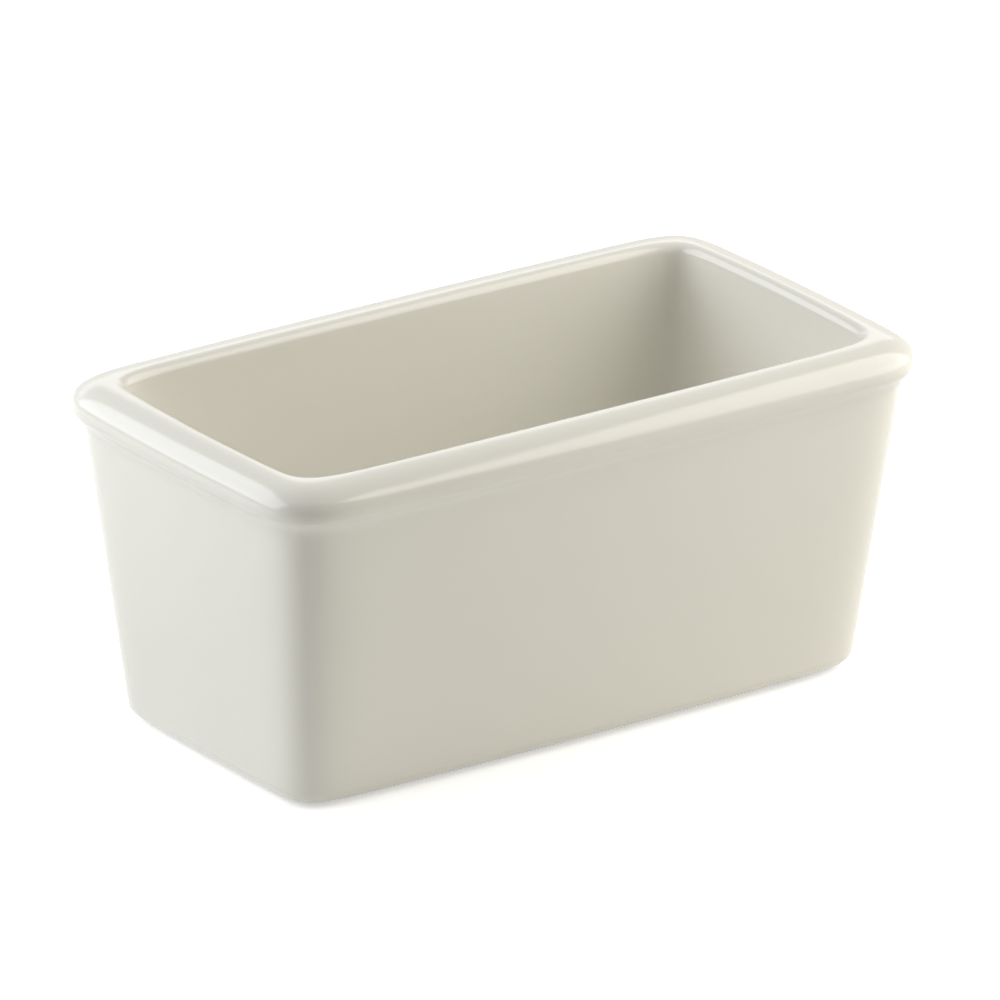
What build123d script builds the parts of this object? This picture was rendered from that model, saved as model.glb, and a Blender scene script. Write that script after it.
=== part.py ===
"""Sugar packet holder: a drafted china tray with a rolled rim, and the glaze that covers it.

The holder stands on the table: Z = 0 is the foot, X runs along the holder and Y across it.
Sizes are in millimetres and are measured over the glaze, unless they say otherwise.
"""
import os
from math import cos, radians, sin, sqrt, tan

from build123d import *

# Overall size
length = 120.6
width = 66.5
height = 54.2

# Rolled rim: a cove, a round nose and a flatter crown, then a level strip before the inside edge
crown_rise = 3.6  # from the nose's widest line up to the crest
bead_overhang = 1.7  # of that line past the wall
nose_radius = 2.6
crown_radius = 6.7
cove_radius = 5.4
rim_land = 0.2  # width of the level strip
inside_edge_radius = 1.6
rim_corner_radius = 7.0
rim_end_swell = 1.0  # how far each end bows out at its middle
rim_side_swell = 1.0  # how far each side bows out at its middle
rim_end_ease = 1.2  # how far each end draws in just before a corner
rim_side_ease = 2.8  # how far each side draws in just before a corner

# Outside walls
draft = 6.45  # degrees off upright
base_corner_radius = 4.2
base_edge_radius = 2.7
base_end_swell = 0.25
base_side_swell = 0.9
base_end_ease = 0.7
base_side_ease = 1.8

# Inside
inside_draft = 6.45  # degrees off upright
mouth_corner_radius = 3.8
mouth_end_swell = 1.1
mouth_side_swell = 0.4
mouth_end_ease = 0.4
mouth_side_ease = 1.1
floor_corner_radius = 6.0
floor_edge_radius = 4.5
floor_thickness = 4.0

# Foot: a bare ring that keeps the glaze off the table
foot_height = 0.5
foot_shoulder = 0.5  # level strip between the rounded base edge and the ring
foot_width = 3.0
foot_corner_radius = 3.0
foot_edge_radius = 0.3
recess_corner_radius = 2.0
underside_rise = 1.1  # how far the underside inside the ring lies above that strip

# Length over which the ends and sides ease in towards a corner
ease_length = 10.5

# Coat of glaze
glaze = 0.28

# How far the solids of one form run into each other
overlap = 0.5

# Centres of the rim's arcs, drawn across one end, with X along the holder and Y up
lean = radians(draft)
wall_slope = Vector(sin(lean), cos(lean))
wall_normal = Vector(cos(lean), -sin(lean))
bead_height = height - crown_rise
crest_inset = nose_radius + sqrt((crown_radius - nose_radius) ** 2 - (crown_radius - crown_rise) ** 2)
nose_center = Vector(length / 2 - nose_radius, bead_height)
crown_center = Vector(length / 2 - crest_inset, height - crown_radius)
cove_reach = cove_radius + (nose_radius - bead_overhang) * wall_normal.X
cove_drop = sqrt((nose_radius + cove_radius) ** 2 - cove_reach**2)
cove_center = nose_center + wall_normal * cove_reach - wall_slope * cove_drop

# Sizes of the wall's foot, and of the inside at the mouth and at the floor
wall_top = cove_center - wall_normal * cove_radius
wall_run = length / 2 - wall_top.X + (wall_top.Y - foot_height) * tan(lean)
foot_inset = base_edge_radius + foot_shoulder
underside = foot_height + underside_rise
floor_level = underside + floor_thickness
mouth_inset = crest_inset + rim_land + inside_edge_radius * tan(radians(90 - inside_draft) / 2)
mouth_length = length - 2 * (rim_end_swell - mouth_end_swell + mouth_inset)
mouth_width = width - 2 * (rim_side_swell - mouth_side_swell + mouth_inset)
floor_run = (height - floor_level) * tan(radians(inside_draft))


def outline(level, long_size, short_size, swells, eases, corner_radius):
    """A rectangle at a level whose ends and sides bow out, and ease in towards its round corners."""
    end = long_size / 2
    side = short_size / 2
    end_swell, side_swell = swells
    end_ease, side_ease = eases
    corner = Vector(end - end_swell - end_ease, side - side_swell - side_ease)
    side_run = corner.X - ease_length
    end_run = corner.Y - ease_length
    side_place = side - side_swell * (side_run / corner.X) ** 2
    end_place = end - end_swell * (end_run / corner.Y) ** 2
    with BuildSketch(Plane.XY.offset(level)) as shape:
        with BuildLine():
            for hand in (1, -1):
                y = hand * side_place
                long_side = ThreePointArc((-side_run, y), (0, hand * side), (side_run, y))
                TangentArc(long_side @ 0, (-corner.X, hand * corner.Y), tangent=-(long_side % 0))
                TangentArc(long_side @ 1, (corner.X, hand * corner.Y), tangent=long_side % 1)
                x = hand * end_place
                short_end = ThreePointArc((x, -end_run), (hand * end, 0), (x, end_run))
                TangentArc(short_end @ 0, (hand * corner.X, -corner.Y), tangent=-(short_end % 0))
                TangentArc(short_end @ 1, (hand * corner.X, corner.Y), tangent=short_end % 1)
        make_face()
        corners = shape.vertices().sort_by_distance((0, 0))[-4:]
        fillet(corners, corner_radius)
    return shape.sketch


def rim_outline():
    """The outline of the rim at its widest line."""
    swells = (rim_end_swell, rim_side_swell)
    eases = (rim_end_ease, rim_side_ease)
    return outline(bead_height, length, width, swells, eases, rim_corner_radius)


def base_outline(level, inset, corner_radius):
    """The outline of the wall's foot, drawn in by an inset, with corners of its own."""
    sizes = (length - 2 * (wall_run + inset), width - 2 * (wall_run + inset))
    swells = (base_end_swell, base_side_swell)
    eases = (base_end_ease, base_side_ease)
    return outline(level, *sizes, swells, eases, corner_radius)


def recess_outline(level):
    """The outline of the recess inside the foot ring."""
    return base_outline(level, foot_inset + foot_width, recess_corner_radius)


def inside_form(skin):
    """The hollow of the holder, with its floor and walls lying behind the glaze by a skin."""
    lean_in = radians(inside_draft)
    bows = ((mouth_end_swell, mouth_side_swell), (mouth_end_ease, mouth_side_ease))
    mouth_growth = overlap * tan(lean_in) + skin / cos(lean_in)
    floor_growth = skin / cos(lean_in) - skin * tan(lean_in) - floor_run
    mouth_sizes = (mouth_length + 2 * mouth_growth, mouth_width + 2 * mouth_growth)
    floor_sizes = (mouth_length + 2 * floor_growth, mouth_width + 2 * floor_growth)
    with BuildPart() as hollow:
        floor = outline(floor_level - skin, *floor_sizes, *bows, floor_corner_radius + skin)
        mouth = outline(height + overlap, *mouth_sizes, *bows, mouth_corner_radius + skin)
        loft([floor, mouth], ruled=True)
        fillet(hollow.edges().group_by(Axis.Z)[0], floor_edge_radius + skin)
    return hollow.part


def holder_form(skin):
    """The whole holder without its foot, with every surface lying under the glaze by a skin."""
    cove_start = cove_center - wall_normal * (cove_radius + skin)
    cove_end = cove_center + (nose_center - cove_center).normalized() * (cove_radius + skin)
    nose_end = crown_center + (nose_center - crown_center).normalized() * (crown_radius - skin)
    crest = crown_center + Vector(0, crown_radius - skin)
    back = crest.X - overlap
    with BuildPart() as form:
        # Rim, swept round its widest line
        with BuildSketch(Plane.XZ):
            with BuildLine():
                cove = TangentArc(cove_start, cove_end, tangent=wall_slope)
                nose = TangentArc(cove_end, nose_end, tangent=cove % 1)
                TangentArc(nose_end, crest, tangent=nose % 1)
                Polyline(crest, (back, crest.Y), (back, cove_start.Y), cove_start)
            make_face()
        sweep(path=rim_outline().face().outer_wire())
        rim_foot = form.faces().sort_by(Axis.Z)[0]
        middle = Face(rim_foot.inner_wires()[0])
        # Walls, drawn in from the rim's foot to a rounded base edge
        base_inset = skin / cos(lean) - skin * tan(lean)
        base = base_outline(foot_height + skin, base_inset, base_corner_radius - base_inset)
        loft([base, Face(rim_foot.outer_wire())], ruled=True)
        fillet(form.edges().group_by(Axis.Z)[0], base_edge_radius - skin)
        # Middle, filled to the crest and then hollowed out
        extrude(middle, amount=crest.Y - cove_start.Y, dir=(0, 0, 1))
        add(inside_form(skin), mode=Mode.SUBTRACT)
        crest_strip = form.faces().sort_by(Axis.Z)[-1]
        fillet(crest_strip.inner_wires()[0].edges(), inside_edge_radius - skin)
    return form.part


# China body, with the bare foot ring that it stands on
with BuildPart() as china_body:
    add(holder_form(glaze))
    with BuildSketch():
        add(base_outline(0, foot_inset, foot_corner_radius))
        add(recess_outline(0), mode=Mode.SUBTRACT)
    extrude(amount=underside)
    extrude(recess_outline(0), amount=underside + glaze, mode=Mode.SUBTRACT)
    fillet(china_body.edges().group_by(Axis.Z)[0], foot_edge_radius)
china_body.part.label = "china_body"

# Glaze over the outside, the rim and the inside, down to the foot ring
with BuildPart() as glaze_coat:
    add(holder_form(0))
    extrude(recess_outline(0), amount=underside + glaze, mode=Mode.SUBTRACT)
    add(china_body.part, mode=Mode.SUBTRACT)
glaze_coat.part.label = "glaze_coat"

# Glaze on the underside, within the foot ring
with BuildPart() as underside_glaze:
    extrude(recess_outline(underside), amount=glaze)
underside_glaze.part.label = "underside_glaze"

os.makedirs("parts", exist_ok=True)
export_step(china_body.part, "parts/china_body.step")
export_step(glaze_coat.part, "parts/glaze_coat.step")
export_step(underside_glaze.part, "parts/underside_glaze.step")
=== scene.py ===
"""Looks of a china sugar packet holder: its glaze, its bare foot, and the studio table that it stands on.

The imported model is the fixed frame. Its glaze coat is modelled again here as a smooth skin, and the
china body and the underside glaze keep their own meshes and get a finish. Lengths are in metres.
"""

from math import atan2, cos, pi, radians, sin, sqrt, tan

import bmesh
import bpy
from bpy.props import FloatProperty, FloatVectorProperty, IntProperty, PointerProperty
from mathutils import Matrix, Vector


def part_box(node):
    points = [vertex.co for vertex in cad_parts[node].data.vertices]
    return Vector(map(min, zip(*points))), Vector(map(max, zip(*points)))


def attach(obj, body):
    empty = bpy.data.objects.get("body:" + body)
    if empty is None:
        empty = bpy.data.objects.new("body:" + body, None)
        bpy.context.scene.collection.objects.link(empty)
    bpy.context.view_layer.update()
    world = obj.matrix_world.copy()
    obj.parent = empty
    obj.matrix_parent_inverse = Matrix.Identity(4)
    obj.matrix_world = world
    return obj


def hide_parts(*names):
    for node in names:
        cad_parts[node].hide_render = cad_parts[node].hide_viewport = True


bl_info = {
    "name": "Sugar packet holder",
    "version": (1, 0, 0),
    "blender": (4, 5, 0),
    "location": "3D View > Sidebar > Packet holder",
    "description": "Models and finishes a china sugar packet holder, and sets it on a studio table",
    "category": "Object",
}

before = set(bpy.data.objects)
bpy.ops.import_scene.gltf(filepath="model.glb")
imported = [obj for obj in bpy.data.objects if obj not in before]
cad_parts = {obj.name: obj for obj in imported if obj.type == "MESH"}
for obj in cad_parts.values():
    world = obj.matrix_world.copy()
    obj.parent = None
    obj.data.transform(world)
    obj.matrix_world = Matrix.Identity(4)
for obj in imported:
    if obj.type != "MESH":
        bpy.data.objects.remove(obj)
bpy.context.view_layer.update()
COAT_LOW, COAT_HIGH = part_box("glaze_coat")
UNDERSIDE_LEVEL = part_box("underside_glaze")[0].z

MM = 0.001
SQUARE = pi / 2
CLOSE = 1e-6  # two levels nearer than this are one
WHITE = (1, 1, 1, 1)
IOR = 1.5  # of the china and of its glaze

# How hollow or how edged a surface is before its colour turns, from 0 on a plain one to 1 on the tightest
POOLED_FROM = 0.1
THIN_FROM = 0.15

# Ranges of a noise from 0 to 1: the middle of it for clouds, and only the peaks for scuffs
CLOUD_RANGE = (0.3, 0.7)
SCUFF_RANGE = (0.56, 0.70)


def size(name, description, default):
    """A length that a user can change."""
    return FloatProperty(
        name=name, description=description, default=default, min=0, precision=5, unit="LENGTH")


def share(name, description, default):
    """A number from 0 to 1 that a user can change."""
    return FloatProperty(
        name=name, description=description, default=default, min=0, max=1, subtype="FACTOR")


def colour(name, description, default):
    """A colour that a user can change."""
    return FloatVectorProperty(
        name=name, description=description, default=default, min=0, max=1, subtype="COLOR")


def angle(name, description, degrees):
    """An angle that a user can change."""
    return FloatProperty(name=name, description=description, default=radians(degrees), subtype="ANGLE")


def count(name, description, default, least):
    """A whole number that a user can change."""
    return IntProperty(name=name, description=description, default=default, min=least)


def number(name, description, default):
    """A number from 0 up that a user can change."""
    return FloatProperty(name=name, description=description, default=default, min=0)


def place(name, description, default):
    """A point that a user can change."""
    return FloatVectorProperty(name=name, description=description, default=default, subtype="TRANSLATION")


class HolderRim(bpy.types.PropertyGroup):
    """Overall size, and the rolled rim: a cove, a round nose and a flatter crown."""

    length: size("Length", "Over the rim's ends", COAT_HIGH.x - COAT_LOW.x)
    width: size("Width", "Over the rim's sides", COAT_HIGH.y - COAT_LOW.y)
    height: size("Height", "From the table to the crest", COAT_HIGH.z)
    crown_rise: size("Crown rise", "From the nose's widest line up to the crest", 3.6 * MM)
    overhang: size("Overhang", "Of the nose past the wall", 1.7 * MM)
    nose_radius: size("Nose radius", "Round of the rim's outer edge", 2.6 * MM)
    crown_radius: size("Crown radius", "Flatter round of the rim's top", 6.7 * MM)
    cove_radius: size("Cove radius", "Hollow under the rim", 5.4 * MM)
    land: size("Land", "Level strip between the crown and the inside edge", 0.2 * MM)
    side_reach: size("Corner reach on a side", "How far from a corner its round begins", 17 * MM)
    end_reach: size("Corner reach on an end", "How far from a corner its round begins", 14.5 * MM)
    corner_profile: share("Corner profile", "From a round corner, 0.5, to a square one, 1", 0.704)
    end_swell: size("End swell", "How far each end bows out at its middle", 1.0 * MM)
    side_swell: size("Side swell", "How far each side bows out at its middle", 1.0 * MM)


class HolderWalls(bpy.types.PropertyGroup):
    """Outside walls, down to the foot ring."""

    draft: angle("Draft", "How far the walls lean out", 6.45)
    side_reach: size("Base reach on a side", "How far from a corner its round begins", 22 * MM)
    end_reach: size("Base reach on an end", "How far from a corner its round begins", 14.7 * MM)
    corner_profile: share("Base corner profile", "From a round corner, 0.5, to a square one, 1", 0.803)
    edge_radius: size("Base edge radius", "Round between wall and underside", 2.7 * MM)
    end_swell: size("Base end swell", "How far each end bows out at the foot", 0.25 * MM)
    side_swell: size("Base side swell", "How far each side bows out at the foot", 0.9 * MM)
    level: size("Base level", "Of the glazed underside, above the table", COAT_LOW.z)
    shoulder: size("Shoulder", "Level strip from the base edge to the foot ring", 0.5 * MM)
    tuck: size("Tuck", "How far the glaze runs in under the ring's side, out of sight", 0.3 * MM)


class HolderInside(bpy.types.PropertyGroup):
    """Mouth, inside walls and floor."""

    draft: angle("Inside draft", "How far the inside walls lean out", 6.45)
    edge_radius: size("Inside edge radius", "Round of the mouth", 1.6 * MM)
    mouth_side_reach: size("Mouth reach on a side", "How far from a corner its round begins", 20 * MM)
    mouth_end_reach: size("Mouth reach on an end", "How far from a corner its round begins", 11.8 * MM)
    mouth_profile: share("Mouth corner profile", "From a round corner, 0.5, to a square one, 1", 0.818)
    mouth_end_swell: size("Mouth end swell", "How far each end bows out", 1.1 * MM)
    mouth_side_swell: size("Mouth side swell", "How far each side bows out", 0.4 * MM)
    floor_side_reach: size("Floor reach on a side", "How far from a corner its round begins", 9 * MM)
    floor_end_reach: size("Floor reach on an end", "How far from a corner its round begins", 8 * MM)
    floor_profile: share("Floor corner profile", "From a round corner, 0.5, to a square one, 1", 0.622)
    floor_edge_radius: size("Floor edge radius", "Round between wall and floor", 4.5 * MM)
    floor_thickness: size("Floor thickness", "From the underside glaze up to the floor", 4.0 * MM)


class HolderGlaze(bpy.types.PropertyGroup):
    """The glaze: its thickness, its surface and its colours."""

    thickness: size("Thickness", "Of the coat of glaze", 0.28 * MM)
    corner_steps: count("Corner steps", "Faces round each corner", 28, 2)
    long_cuts: count("Long cuts", "Cuts along each side, an odd number", 9, 1)
    short_cuts: count("Short cuts", "Cuts along each end, an odd number", 3, 1)
    wall_cuts: count("Wall cuts", "Cuts down each wall", 9, 0)
    arc_step: angle("Arc step", "Largest turn of the section from one face to the next", 9)
    waviness: size("Waviness", "How far the fired surface strays from its true form", 0.05 * MM)
    wave_length: size("Wave length", "From one swelling of that surface to the next", 24 * MM)
    body_colour: colour("Glaze colour", "Where the glaze lies evenly", (0.775, 0.752, 0.655))
    pooled_colour: colour("Pooled colour", "Where the glaze gathers in a hollow", (0.715, 0.682, 0.565))
    thin_colour: colour("Thin colour", "Where the glaze runs thin over an edge", (0.82, 0.80, 0.725))
    roughness: share("Roughness", "Of the glaze", 0.14)
    pooled_even: share("Pooled share", "Of the pooled colour that doesn't follow the clouds", 0.55)
    thin_share: share("Thin share", "How far the colour turns on a thin edge", 0.6)
    cloud_share: share("Cloud share", "How far the clouds turn the colour", 0.16)
    cloud_scale: number("Cloud scale", "Clouds of colour to the metre", 38)
    gloss_change: share("Gloss change", "Of the roughness, from patch to patch", 0.04)
    gloss_scale: number("Gloss scale", "Rougher and smoother patches to the metre", 90)
    ripple: size("Ripple", "Height of the fine ripple on the glaze", 0.004 * MM)
    fine_scale: number("Fine ripple scale", "Fine ripples to the metre", 210)
    broad_scale: number("Broad ripple scale", "Broad ripples to the metre", 75)
    broad_share: number("Broad ripple share", "Height of the broad ripples, in fine ones", 1.6)


class HolderFoot(bpy.types.PropertyGroup):
    """The bare china of the foot ring."""

    bare_colour: colour("Bare china colour", "Of the unglazed foot", (0.72, 0.66, 0.54))
    scuff_colour: colour("Scuff colour", "Where the table has marked the foot", (0.36, 0.33, 0.29))
    roughness: share("Roughness", "Of the unglazed foot", 0.72)
    grain: size("Grain", "Height of the grain of bare china", 0.02 * MM)
    grain_scale: number("Grain scale", "Grains to the metre", 2600)
    grain_tint: share("Grain tint", "How far the grain turns the colour", 0.25)
    grain_matt: share("Grain roughness", "How much rougher the grain is", 0.12)
    pit_scale: number("Pit scale", "Broader pits to the metre", 700)
    pit_share: share("Pit share", "Height of the pits, in grains", 0.5)
    scuff_scale: number("Scuff scale", "Scuffs to the metre", 260)
    scuff_tint: share("Scuff tint", "How far a scuff turns the colour", 0.45)
    scuff_polish: share("Scuff polish", "How much smoother a scuff is", 0.14)


class HolderStage(bpy.types.PropertyGroup):
    """Camera, lamps and table."""

    azimuth: angle("Camera azimuth", "Round the holder, from its long side", -35.82)
    elevation: angle("Camera elevation", "Above the table", 21.48)
    roll: angle("Camera roll", "Of the camera about its own line of sight", 0.514)
    distance: size("Camera distance", "From the point that it looks at", 2374 * MM)
    lens: number("Lens", "Focal length in millimetres", 563.2)
    sensor: number("Sensor", "Width of the camera's sensor in millimetres", 36)
    target: place("Target", "Point that the camera looks at", (2.05 * MM, 1.21 * MM, 30.24 * MM))
    aim: place("Aim", "Point that the lamps face", (0, 0, 30 * MM))
    left_place: place("Left softbox", "Its middle", (-331 * MM, 250 * MM, 280 * MM))
    left_wide: size("Left width", "Of the softbox on the left", 600 * MM)
    left_high: size("Left height", "Of the softbox on the left", 400 * MM)
    left_power: number("Left power", "Watts of the softbox on the left", 2.28)
    left_colour: colour("Left light", "Colour of the softbox on the left", (0.92, 0.955, 1.0))
    right_place: place("Right softbox", "Its middle", (370 * MM, -197 * MM, 272 * MM))
    right_wide: size("Right width", "Of the softbox on the right", 460 * MM)
    right_high: size("Right height", "Of the softbox on the right", 550 * MM)
    right_power: number("Right power", "Watts of the softbox on the right", 2.54)
    right_colour: colour("Right light", "Colour of the softbox on the right", (1.0, 0.985, 0.945))
    strip_place: place("Back strip", "Its middle", (165 * MM, 409 * MM, 235 * MM))
    strip_wide: size("Strip width", "Of the strip light at the back", 600 * MM)
    strip_high: size("Strip height", "Of the strip light at the back", 100 * MM)
    strip_power: number("Strip power", "Watts of the strip light at the back", 0.20)
    strip_colour: colour("Strip light", "Colour of the strip light at the back", (1, 1, 1))
    ambient_colour: colour("Ambient", "Colour of the light from all round", (1.0, 0.93, 0.74))
    ambient: number("Ambient strength", "Of the light from all round", 0.12)
    table_size: size("Table size", "Of the square table", 6)
    table_colour: colour("Table colour", "Of the pale table", (0.86, 0.86, 0.85))
    table_lift: number("Table lift", "Glow that makes the table read as white", 0.45)


GROUPS = {
    "holder_rim": HolderRim,
    "holder_walls": HolderWalls,
    "holder_inside": HolderInside,
    "holder_glaze": HolderGlaze,
    "holder_foot": HolderFoot,
    "holder_stage": HolderStage,
}


class Shade:
    """A socket of a shader's nodes. Arithmetic on it adds Math nodes, and add() any other node."""

    def __init__(self, tree, socket=None):
        self.tree = tree
        self.socket = socket

    def add(self, kind, settings=None, sockets=None, output=0):
        """Adds a node: its settings first, then its sockets' values or links."""
        node = self.tree.nodes.new(kind)
        for name, value in (settings or {}).items():
            setattr(node, name, value)
        for name, value in (sockets or {}).items():
            if isinstance(value, Shade):
                self.tree.links.new(value.socket, node.inputs[name])
            else:
                node.inputs[name].default_value = value
        return Shade(self.tree, node.outputs[output] if node.outputs else None)

    def math(self, operation, *values):
        """Adds a Math node."""
        return self.add("ShaderNodeMath", {"operation": operation}, dict(enumerate(values)))

    def __add__(self, other):
        return self.math("ADD", self, other)

    def __radd__(self, other):
        return self.math("ADD", other, self)

    def __sub__(self, other):
        return self.math("SUBTRACT", self, other)

    def __rsub__(self, other):
        return self.math("SUBTRACT", other, self)

    def __mul__(self, other):
        return self.math("MULTIPLY", self, other)

    def __rmul__(self, other):
        return self.math("MULTIPLY", other, self)

    def blend(self, low, high):
        """Mixes two colours, the high one where this value is 1."""
        # The Mix node has sockets for every type of data, and these are the ones for colours
        sockets = {0: self, 6: opaque(low), 7: opaque(high)}
        return self.add("ShaderNodeMix", {"data_type": "RGBA"}, sockets, output=2)

    def between(self, low, high):
        """This value stretched so that low becomes 0 and high becomes 1, smoothly, and held there."""
        settings = {"interpolation_type": "SMOOTHSTEP"}
        sockets = {"Value": self, "From Min": low, "From Max": high}
        return self.add("ShaderNodeMapRange", settings, sockets)


def opaque(tint):
    """A colour with its alpha, or a socket as it is."""
    return tint if isinstance(tint, Shade) else (*tint, 1.0)


def new_material(name):
    """A material with no nodes but its output, and a start to add nodes from."""
    material = bpy.data.materials.new(name)
    material.use_nodes = True
    material.node_tree.nodes.clear()
    return material, Shade(material.node_tree)


def finish_material(start, surface):
    """Joins a shader to the material's output."""
    start.add("ShaderNodeOutputMaterial", sockets={"Surface": surface})


def noise(spot, scale, detail=2.0):
    """Cloudy noise from 0 to 1, with a number of clouds to the metre."""
    return spot.add("ShaderNodeTexNoise", sockets={"Vector": spot, "Scale": scale, "Detail": detail})


def relief(height, depth):
    """A bumped normal, from a height and how deep the bumps are."""
    return height.add("ShaderNodeBump", sockets={"Strength": 1.0, "Distance": depth, "Height": height})


def finish_china(start, tint, gloss, normal):
    """Ends a material of china or glaze with its surface."""
    sockets = {"Base Color": tint, "Roughness": gloss, "Normal": normal, "IOR": IOR}
    finish_material(start, start.add("ShaderNodeBsdfPrincipled", sockets=sockets))


def glaze_material(look):
    """Glossy bone glaze: deeper where it pools, paler where it runs thin, with a faint fired ripple."""
    material, start = new_material("bone_glaze")
    spot = start.add("ShaderNodeTexCoord", output="Object")
    hollow = start.add("ShaderNodeAttribute", {"attribute_name": "hollow"}, output="Fac")
    cloud = noise(spot, look.cloud_scale, detail=3.0)
    pooled = hollow.between(POOLED_FROM, 1.0) * (look.pooled_even + (1 - look.pooled_even) * cloud)
    thin = (0.0 - hollow).between(THIN_FROM, 1.0)
    clouded = cloud.between(*CLOUD_RANGE) * look.cloud_share
    tint = clouded.blend(look.body_colour, look.pooled_colour)
    tint = pooled.blend(tint, look.pooled_colour)
    tint = (thin * look.thin_share).blend(tint, look.thin_colour)
    smoothest = look.roughness - look.gloss_change / 2
    gloss = smoothest + look.gloss_change * noise(spot, look.gloss_scale)
    height = noise(spot, look.fine_scale) + look.broad_share * noise(spot, look.broad_scale)
    finish_china(start, tint, gloss, relief(height, look.ripple))
    return material


def bare_china_material(look):
    """Unglazed china: matt, finely grained, and scuffed grey where it stands on the table."""
    material, start = new_material("bare_china")
    spot = start.add("ShaderNodeTexCoord", output="Object")
    grain = noise(spot, look.grain_scale, detail=4.0)
    scuffs = noise(spot, look.scuff_scale, detail=5.0).between(*SCUFF_RANGE)
    tint = (grain * look.grain_tint).blend(look.bare_colour, look.scuff_colour)
    tint = (scuffs * look.scuff_tint).blend(tint, look.scuff_colour)
    gloss = look.roughness + look.grain_matt * grain - look.scuff_polish * scuffs
    height = grain + look.pit_share * noise(spot, look.pit_scale)
    finish_china(start, tint, gloss, relief(height, look.grain))
    return material


def wear(piece, material):
    """Gives a piece one material."""
    piece.data.materials.clear()
    piece.data.materials.append(material)


def shared_material(name, make, look):
    """The material of that name, made the first time that it is asked for."""
    return bpy.data.materials.get(name) or make(look)


class Outline:
    """A rounded rectangle at a level, whose ends and sides bow out a little at their middles."""

    def __init__(self, end, side, swells, reaches, profile):
        self.end = end
        self.side = side
        self.swells = swells
        self.reaches = Vector(reaches)  # of a corner along the side and along the end
        self.profile = profile

    def drawn_in(self, inset):
        """The outline that lies inside this one by an inset."""
        # The middle of a corner moves in square to its slope, and its reaches follow from that
        slant = Vector((self.reaches.y, self.reaches.x)).normalized()
        change = (Vector((1, 1)) - slant) * inset / (1 - sqrt(self.profile))
        sizes = (self.end - inset, self.side - inset)
        return Outline(*sizes, self.swells, self.reaches - change, self.profile)


def arc(center, radius, first, last, step):
    """Points of the section along an arc, as far in from the outline and as high as they lie."""
    steps = max(2, round(abs(last - first) / step))
    turns = [first + (last - first) * index / steps for index in range(steps + 1)]
    return [center + radius * Vector((cos(turn), sin(turn))) for turn in turns]


def bearing(direction):
    """The direction's angle in the section, from the inward level line, from 0 to a full turn."""
    return atan2(direction.y, direction.x) % (2 * pi)


class Section:
    """The holder's section across a wall, worked out from its sizes.

    A point of the section is (distance in from an outline, level). Each round has its own outline.
    """

    def __init__(self, rim, walls, inside, step):
        bead = rim.height - rim.crown_rise
        crown_offset = rim.crown_radius - rim.nose_radius
        crown_drop = rim.crown_radius - rim.crown_rise
        crest = rim.nose_radius + sqrt(crown_offset**2 - crown_drop**2)
        nose = Vector((rim.nose_radius, bead))
        crown = Vector((crest, rim.height - rim.crown_radius))
        outward = Vector((-cos(walls.draft), -sin(walls.draft)))
        upward = Vector((-sin(walls.draft), cos(walls.draft)))
        cove_reach = rim.cove_radius + (rim.nose_radius - rim.overhang) * cos(walls.draft)
        cove_drop = sqrt((rim.nose_radius + rim.cove_radius) ** 2 - cove_reach**2)
        cove = nose + outward * cove_reach - upward * cove_drop
        wall_top = cove - outward * rim.cove_radius

        # Rim, up from its widest line to the crest, and down from it to the wall
        self.widest = Outline(rim.length / 2, rim.width / 2, (rim.end_swell, rim.side_swell),
                              (rim.side_reach, rim.end_reach), rim.corner_profile)
        joint = bearing(nose - crown)
        upper_nose = arc(nose, rim.nose_radius, pi, joint, step)
        self.crown = upper_nose + arc(crown, rim.crown_radius, joint, SQUARE, step)[1:]
        nose_end = bearing(cove - nose)
        lower_nose = arc(nose, rim.nose_radius, pi, nose_end, step)
        self.cove = lower_nose + arc(cove, rim.cove_radius, nose_end - pi, walls.draft, step)[1:]

        # Base edge, from the wall to the foot ring
        wall_run = wall_top.x + (wall_top.y - walls.level) * tan(walls.draft)
        self.base = Outline(rim.length / 2 - wall_run, rim.width / 2 - wall_run,
                            (walls.end_swell, walls.side_swell),
                            (walls.side_reach, walls.end_reach), walls.corner_profile)
        self.base_edge = self.foot_round(walls.edge_radius, walls.draft, walls.level, step)
        self.base_edge.append(Vector((walls.edge_radius + walls.shoulder + walls.tuck, walls.level)))

        # Inside edge, from the land to the inside wall
        edge_run = inside.edge_radius * tan((SQUARE - inside.draft) / 2)
        mouth_inset = crest + rim.land + edge_run
        mouth_end = rim.length / 2 - (rim.end_swell - inside.mouth_end_swell) - mouth_inset
        mouth_side = rim.width / 2 - (rim.side_swell - inside.mouth_side_swell) - mouth_inset
        swells = (inside.mouth_end_swell, inside.mouth_side_swell)
        self.mouth = Outline(mouth_end, mouth_side, swells,
                             (inside.mouth_side_reach, inside.mouth_end_reach), inside.mouth_profile)
        edge_center = Vector((-edge_run, rim.height - inside.edge_radius))
        self.inside_edge = arc(edge_center, inside.edge_radius, SQUARE, inside.draft, step)

        # Floor edge, from the inside wall to the floor
        floor_level = UNDERSIDE_LEVEL + inside.floor_thickness
        floor_run = (rim.height - floor_level) * tan(inside.draft)
        self.floor = Outline(mouth_end - floor_run, mouth_side - floor_run, swells,
                             (inside.floor_side_reach, inside.floor_end_reach), inside.floor_profile)
        self.floor_edge = self.foot_round(inside.floor_edge_radius, inside.draft, floor_level, step)

    @staticmethod
    def foot_round(radius, draft, level, step):
        """The round from a leaning wall down to a level, measured in from where the two would meet."""
        run = radius * tan((SQUARE - draft) / 2)
        return arc(Vector((run, level + radius)), radius, pi + draft, 1.5 * pi, step)


def deselect_all():
    """Leaves edit mode and selects nothing."""
    if bpy.context.mode != "OBJECT":
        bpy.ops.object.mode_set(mode="OBJECT")
    bpy.ops.object.select_all(action="DESELECT")


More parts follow.
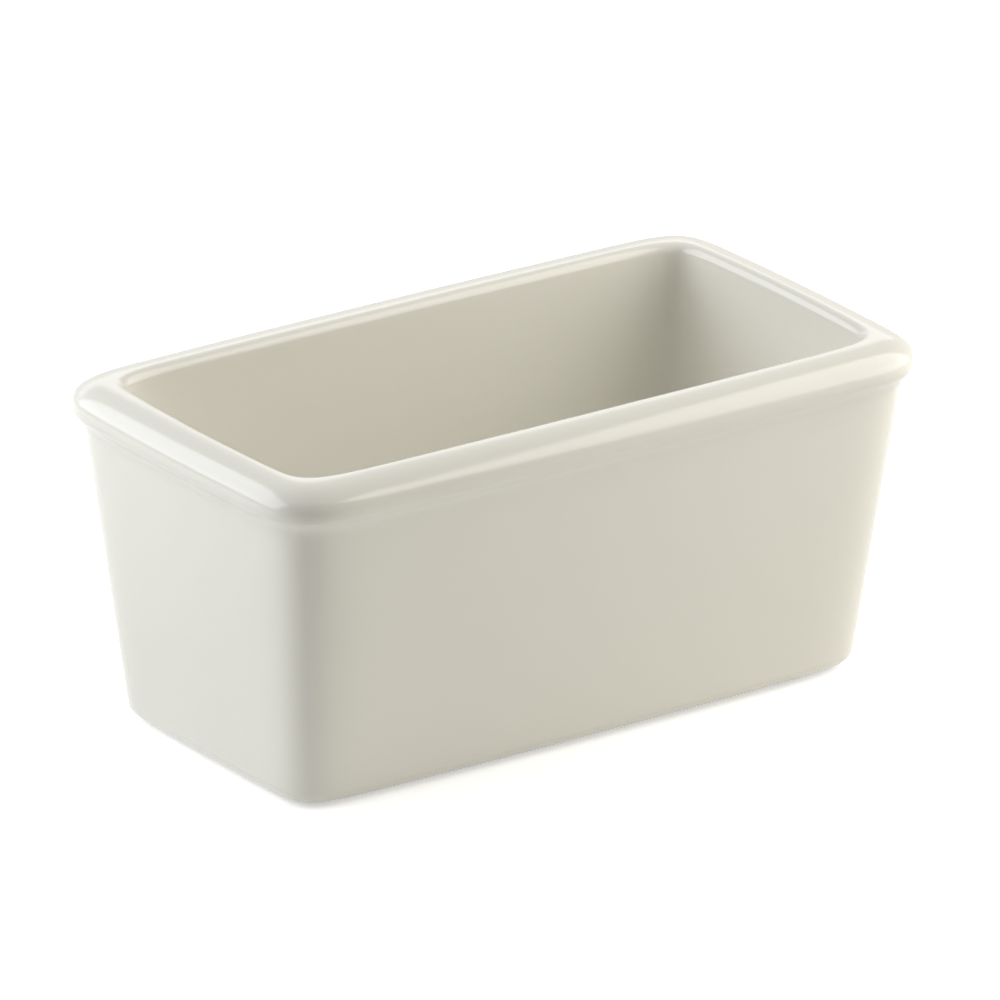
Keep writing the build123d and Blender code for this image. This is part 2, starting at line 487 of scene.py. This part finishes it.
def pick(piece, kind, wanted):
    """Selects only the vertices, edges or faces of a piece in edit mode that are wanted."""
    bpy.ops.mesh.select_mode(type=kind)
    bpy.ops.mesh.select_all(action="DESELECT")
    mesh = bmesh.from_edit_mesh(piece.data)
    parts = {"VERT": mesh.verts, "EDGE": mesh.edges, "FACE": mesh.faces}[kind]
    found = [part for part in parts if wanted(part)]
    if not found:
        raise RuntimeError(f"nothing to select on {piece.name}")
    for part in found:
        part.select_set(True)
    mesh.select_flush_mode()
    bmesh.update_edit_mesh(piece.data)


def spans_middle(axis):
    """A test for edges that reach as far to one side of the middle, along an axis, as to the other."""
    def test(edge):
        return abs(edge.verts[0].co[axis] + edge.verts[1].co[axis]) < CLOSE
    return test


def add_sheet(outline, level, cuts):
    """Adds a level sheet of that outline: a plane with its corners rounded and its sides bowed out."""
    corner = Vector((outline.end - outline.swells[0], outline.side - outline.swells[1], 0))
    stretch = outline.reaches.x / outline.reaches.y
    deselect_all()
    # Corners at 1, so that the resize brings them to their place, short of the stretch
    bpy.ops.mesh.primitive_plane_add(size=2, enter_editmode=True, align="WORLD", location=(0, 0, 0))
    sheet = bpy.context.object
    bpy.ops.transform.resize(value=(corner.x / stretch, corner.y, 1))
    bpy.ops.transform.translate(value=(0, 0, level))
    bpy.ops.mesh.bevel(offset=outline.reaches.y, segments=cuts["corner"],
                       profile=outline.profile, affect="VERTICES")
    bpy.ops.mesh.select_all(action="SELECT")
    bpy.ops.transform.resize(value=(stretch, 1, 1), center_override=(0, 0, 0))
    bpy.ops.mesh.delete(type="ONLY_FACE")
    for axis, cut_count in enumerate((cuts["long"], cuts["short"])):
        pick(sheet, "EDGE", spans_middle(axis))
        bpy.ops.mesh.subdivide(number_cuts=cut_count)
    for axis, swell in enumerate(outline.swells):
        for hand in (-1, 1):
            middle = Vector((0, 0, level))
            middle[axis] = hand * corner[axis]
            pick(sheet, "VERT", lambda vertex, spot=middle: (vertex.co - spot).length < CLOSE)
            move = Vector((0, 0, 0))
            move[axis] = hand * swell
            bpy.ops.transform.translate(
                value=move, use_proportional_edit=True, proportional_edit_falloff="INVERSE_SQUARE",
                proportional_size=corner[1 - axis], use_proportional_connected=True)
    bpy.ops.mesh.select_all(action="SELECT")
    bpy.ops.mesh.edge_face_add()
    bpy.ops.mesh.select_mode(type="FACE")
    bpy.ops.mesh.select_all(action="SELECT")
    if bmesh.from_edit_mesh(sheet.data).faces[:][0].normal.z < 0:
        bpy.ops.mesh.flip_normals()
    return sheet


def roll_in(points):
    """Insets the selected face along the points of a section, one ring of faces for each step."""
    for point, after in zip(points, points[1:]):
        step = after - point
        bpy.ops.mesh.inset(thickness=step.x, depth=step.y, use_even_offset=True, use_boundary=True)


def add_round(outline, points, cuts, closed=False):
    """Models one round of the section as a sheet inset along it, open in the middle unless closed."""
    start = points[0]
    sheet = add_sheet(outline.drawn_in(start.x), start.y, cuts)
    roll_in(points)
    bpy.ops.mesh.delete(type="ONLY_FACE")
    if closed:
        bottom = points[-1].y
        pick(sheet, "EDGE", lambda edge: edge.is_boundary and abs(edge.verts[0].co.z - bottom) < CLOSE)
        bpy.ops.mesh.fill_grid()
    return sheet


def bridge_levels(piece, levels, cut_count):
    """Joins the open edges that lie at these levels with a ruled wall."""
    def open_here(edge):
        low, high = sorted(vertex.co.z for vertex in edge.verts)
        flat = high - low < CLOSE
        return flat and edge.is_boundary and any(abs(low - level) < CLOSE for level in levels)
    pick(piece, "EDGE", open_here)
    bpy.ops.mesh.bridge_edge_loops(number_cuts=cut_count, interpolation="LINEAR")


def mark_hollows(piece, sharpest):
    """Writes how hollow the surface is at each vertex, from -1 on a tight edge to 1 in a tight hollow."""
    mesh = bmesh.new()
    mesh.from_mesh(piece.data)
    mesh.normal_update()
    bends = []
    for vertex in mesh.verts:
        runs = [edge.other_vert(vertex).co - vertex.co for edge in vertex.link_edges]
        bend = sum(2 * vertex.normal.dot(run) / run.length_squared for run in runs) / len(runs)
        bends.append(max(-1.0, min(1.0, bend * sharpest)))
    mesh.free()
    attribute = piece.data.attributes.new("hollow", "FLOAT", "POINT")
    attribute.data.foreach_set("value", bends)


def apply_modifier(piece, kind, **settings):
    """Adds a modifier to the active piece and applies it."""
    bpy.ops.object.modifier_add(type=kind)
    modifier = piece.modifiers[-1]
    for name, value in settings.items():
        setattr(modifier, name, value)
    bpy.ops.object.modifier_apply(modifier=modifier.name)


class HOLDER_OT_glaze_skin(bpy.types.Operator):
    """Models the glaze over the outside, the rim and the inside, and gives it its finish"""

    bl_idname = "holder.glaze_skin"
    bl_label = "Glaze skin"

    def execute(self, context):
        scene = context.scene
        glaze = scene.holder_glaze
        section = Section(scene.holder_rim, scene.holder_walls, scene.holder_inside, glaze.arc_step)
        cuts = {"corner": glaze.corner_steps, "long": glaze.long_cuts, "short": glaze.short_cuts}
        sheets = [
            add_round(section.widest, section.crown, cuts),
            add_round(section.widest, section.cove, cuts),
            add_round(section.base, section.base_edge, cuts),
            add_round(section.mouth, section.inside_edge, cuts),
            add_round(section.floor, section.floor_edge, cuts, closed=True),
        ]
        deselect_all()
        for sheet in sheets:
            sheet.select_set(True)
        skin = sheets[0]
        context.view_layer.objects.active = skin
        bpy.ops.object.join()
        skin.name = skin.data.name = "bone_glaze_skin"

        bpy.ops.object.mode_set(mode="EDIT")
        bpy.ops.mesh.select_all(action="SELECT")
        bpy.ops.mesh.remove_doubles(threshold=CLOSE)
        bridge_levels(skin, [section.cove[-1].y, section.base_edge[0].y], glaze.wall_cuts)
        bridge_levels(skin, [section.crown[-1].y], 0)
        bridge_levels(skin, [section.inside_edge[-1].y, section.floor_edge[0].y], glaze.wall_cuts)
        bpy.ops.mesh.select_all(action="SELECT")
        bpy.ops.mesh.normals_make_consistent(inside=False)
        bpy.ops.object.mode_set(mode="OBJECT")
        bpy.ops.object.shade_smooth()

        mark_hollows(skin, scene.holder_rim.cove_radius * 2)
        apply_modifier(skin, "SUBSURF", levels=1, render_levels=1)
        waves = bpy.data.textures.new("fired_waves", "CLOUDS")
        waves.noise_scale = glaze.wave_length
        waves.noise_depth = 1
        depth = 2 * glaze.waviness  # the waves stray by half of it each way
        apply_modifier(skin, "DISPLACE", texture=waves, texture_coords="LOCAL", strength=depth)
        apply_modifier(skin, "SOLIDIFY", thickness=glaze.thickness, offset=-1)

        wear(skin, shared_material("bone_glaze", glaze_material, glaze))
        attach(skin, "root")
        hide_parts("glaze_coat")
        return {"FINISHED"}


class HOLDER_OT_underside_glaze(bpy.types.Operator):
    """Gives the glaze inside the foot ring its finish"""

    bl_idname = "holder.underside_glaze"
    bl_label = "Underside glaze"

    def execute(self, context):
        glaze = context.scene.holder_glaze
        wear(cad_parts["underside_glaze"], shared_material("bone_glaze", glaze_material, glaze))
        return {"FINISHED"}


class HOLDER_OT_bare_foot(bpy.types.Operator):
    """Gives the bare china of the foot ring its finish"""

    bl_idname = "holder.bare_foot"
    bl_label = "Bare foot"

    def execute(self, context):
        foot = context.scene.holder_foot
        wear(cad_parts["china_body"], shared_material("bare_china", bare_china_material, foot))
        return {"FINISHED"}


def background_rays(start):
    """1 for rays that see a plain white ground: the camera's, and those that gloss or glass sends on."""
    kinds = ("Is Camera Ray", "Is Glossy Ray", "Is Transmission Ray")
    camera, glossy, through = [start.add("ShaderNodeLightPath", output=kind) for kind in kinds]
    return camera.math("MAXIMUM", camera.math("MAXIMUM", camera, glossy), through)


def table_material(look):
    """A pale matt table that keeps the holder's shadow, reads as white, and is clear from below."""
    material, start = new_material("pale_table")
    matt = start.add("ShaderNodeBsdfDiffuse", sockets={"Color": opaque(look.table_colour)})
    lift = start.add("ShaderNodeEmission", sockets={"Color": WHITE, "Strength": look.table_lift})
    lifted = start.add("ShaderNodeAddShader", sockets={0: matt, 1: lift})
    seen = start.add("ShaderNodeMixShader", sockets={0: background_rays(start), 1: matt, 2: lifted})
    below = start.add("ShaderNodeNewGeometry", output="Backfacing")
    clear = start.add("ShaderNodeBsdfTransparent")
    finish_material(start, start.add("ShaderNodeMixShader", sockets={0: below, 1: seen, 2: clear}))
    return material


def light_world(look):
    """Soft light from all round, with a white ground for the camera and for reflections."""
    world = bpy.data.worlds.new("soft_room")
    world.use_nodes = True
    world.node_tree.nodes.clear()
    start = Shade(world.node_tree)
    room = start.add("ShaderNodeBackground", sockets={
        "Color": opaque(look.ambient_colour), "Strength": look.ambient})
    ground = start.add("ShaderNodeBackground", sockets={"Color": WHITE, "Strength": 1.0})
    seen = start.add("ShaderNodeMixShader", sockets={0: background_rays(start), 1: room, 2: ground})
    start.add("ShaderNodeOutputWorld", sockets={"Surface": seen})
    bpy.context.scene.world = world


def add_softbox(look, name, kind):
    """A soft area lamp, with the stage's sizes for its kind, that the camera itself doesn't see."""
    deselect_all()
    middle = getattr(look, kind + "_place")
    turn = (Vector(look.aim) - Vector(middle)).to_track_quat("-Z", "Y").to_euler()
    bpy.ops.object.light_add(type="AREA", align="WORLD", location=middle, rotation=turn)
    lamp = bpy.context.object
    lamp.name = lamp.data.name = name
    lamp.data.shape = "RECTANGLE"
    lamp.data.size = getattr(look, kind + "_wide")
    lamp.data.size_y = getattr(look, kind + "_high")
    lamp.data.energy = getattr(look, kind + "_power")
    lamp.data.color = getattr(look, kind + "_colour")
    lamp.visible_camera = False


def add_camera(look):
    """The camera at the photograph's viewing angle."""
    across = Vector((cos(look.azimuth), sin(look.azimuth), 0))
    level = cos(look.elevation)
    back = Vector((sin(look.azimuth) * level, -cos(look.azimuth) * level, sin(look.elevation)))
    up = back.cross(across)
    right = across * cos(look.roll) + up * sin(look.roll)
    top = up * cos(look.roll) - across * sin(look.roll)
    eye = Vector(look.target) + back * look.distance
    turn = Matrix((right, top, back)).transposed().to_euler()
    deselect_all()
    bpy.ops.object.camera_add(align="WORLD", location=eye, rotation=turn)
    camera = bpy.context.object
    camera.data.sensor_width = look.sensor
    camera.data.lens = look.lens
    bpy.context.scene.camera = camera


class HOLDER_OT_stage(bpy.types.Operator):
    """Sets out the table, the softboxes, the room's light and the camera"""

    bl_idname = "holder.stage"
    bl_label = "Stage"

    def execute(self, context):
        look = context.scene.holder_stage
        deselect_all()
        bpy.ops.mesh.primitive_plane_add(size=look.table_size, align="WORLD", location=(0, 0, 0))
        table = context.object
        table.name = "pale_table"
        wear(table, table_material(look))
        light_world(look)
        add_softbox(look, "left_softbox", "left")
        add_softbox(look, "right_softbox", "right")
        add_softbox(look, "back_strip", "strip")
        add_camera(look)
        context.scene.view_settings.view_transform = "Standard"
        return {"FINISHED"}


class HOLDER_PT_panel(bpy.types.Panel):
    """Lists the steps that make the holder, and the sizes and colours that they use"""

    bl_idname = "HOLDER_PT_panel"
    bl_label = "Sugar packet holder"
    bl_space_type = "VIEW_3D"
    bl_region_type = "UI"
    bl_category = "Packet holder"

    def draw(self, context):
        for operator in OPERATORS:
            self.layout.operator(operator.bl_idname)
        for group_name, group in GROUPS.items():
            box = self.layout.box()
            for property_name in group.__annotations__:
                box.prop(getattr(context.scene, group_name), property_name)


OPERATORS = (HOLDER_OT_glaze_skin, HOLDER_OT_underside_glaze, HOLDER_OT_bare_foot, HOLDER_OT_stage)
CLASSES = (*GROUPS.values(), *OPERATORS, HOLDER_PT_panel)


def register():
    """Adds the operators, the panel and the groups of properties to Blender."""
    for each in CLASSES:
        bpy.utils.register_class(each)
    for group_name, group in GROUPS.items():
        setattr(bpy.types.Scene, group_name, PointerProperty(type=group))


def unregister():
    """Takes them out again."""
    for group_name in GROUPS:
        delattr(bpy.types.Scene, group_name)
    for each in reversed(CLASSES):
        bpy.utils.unregister_class(each)


def main():
    """Makes the holder and its stage."""
    register()
    bpy.ops.holder.glaze_skin()
    bpy.ops.holder.underside_glaze()
    bpy.ops.holder.bare_foot()
    bpy.ops.holder.stage()


if __name__ == "__main__":
    main()
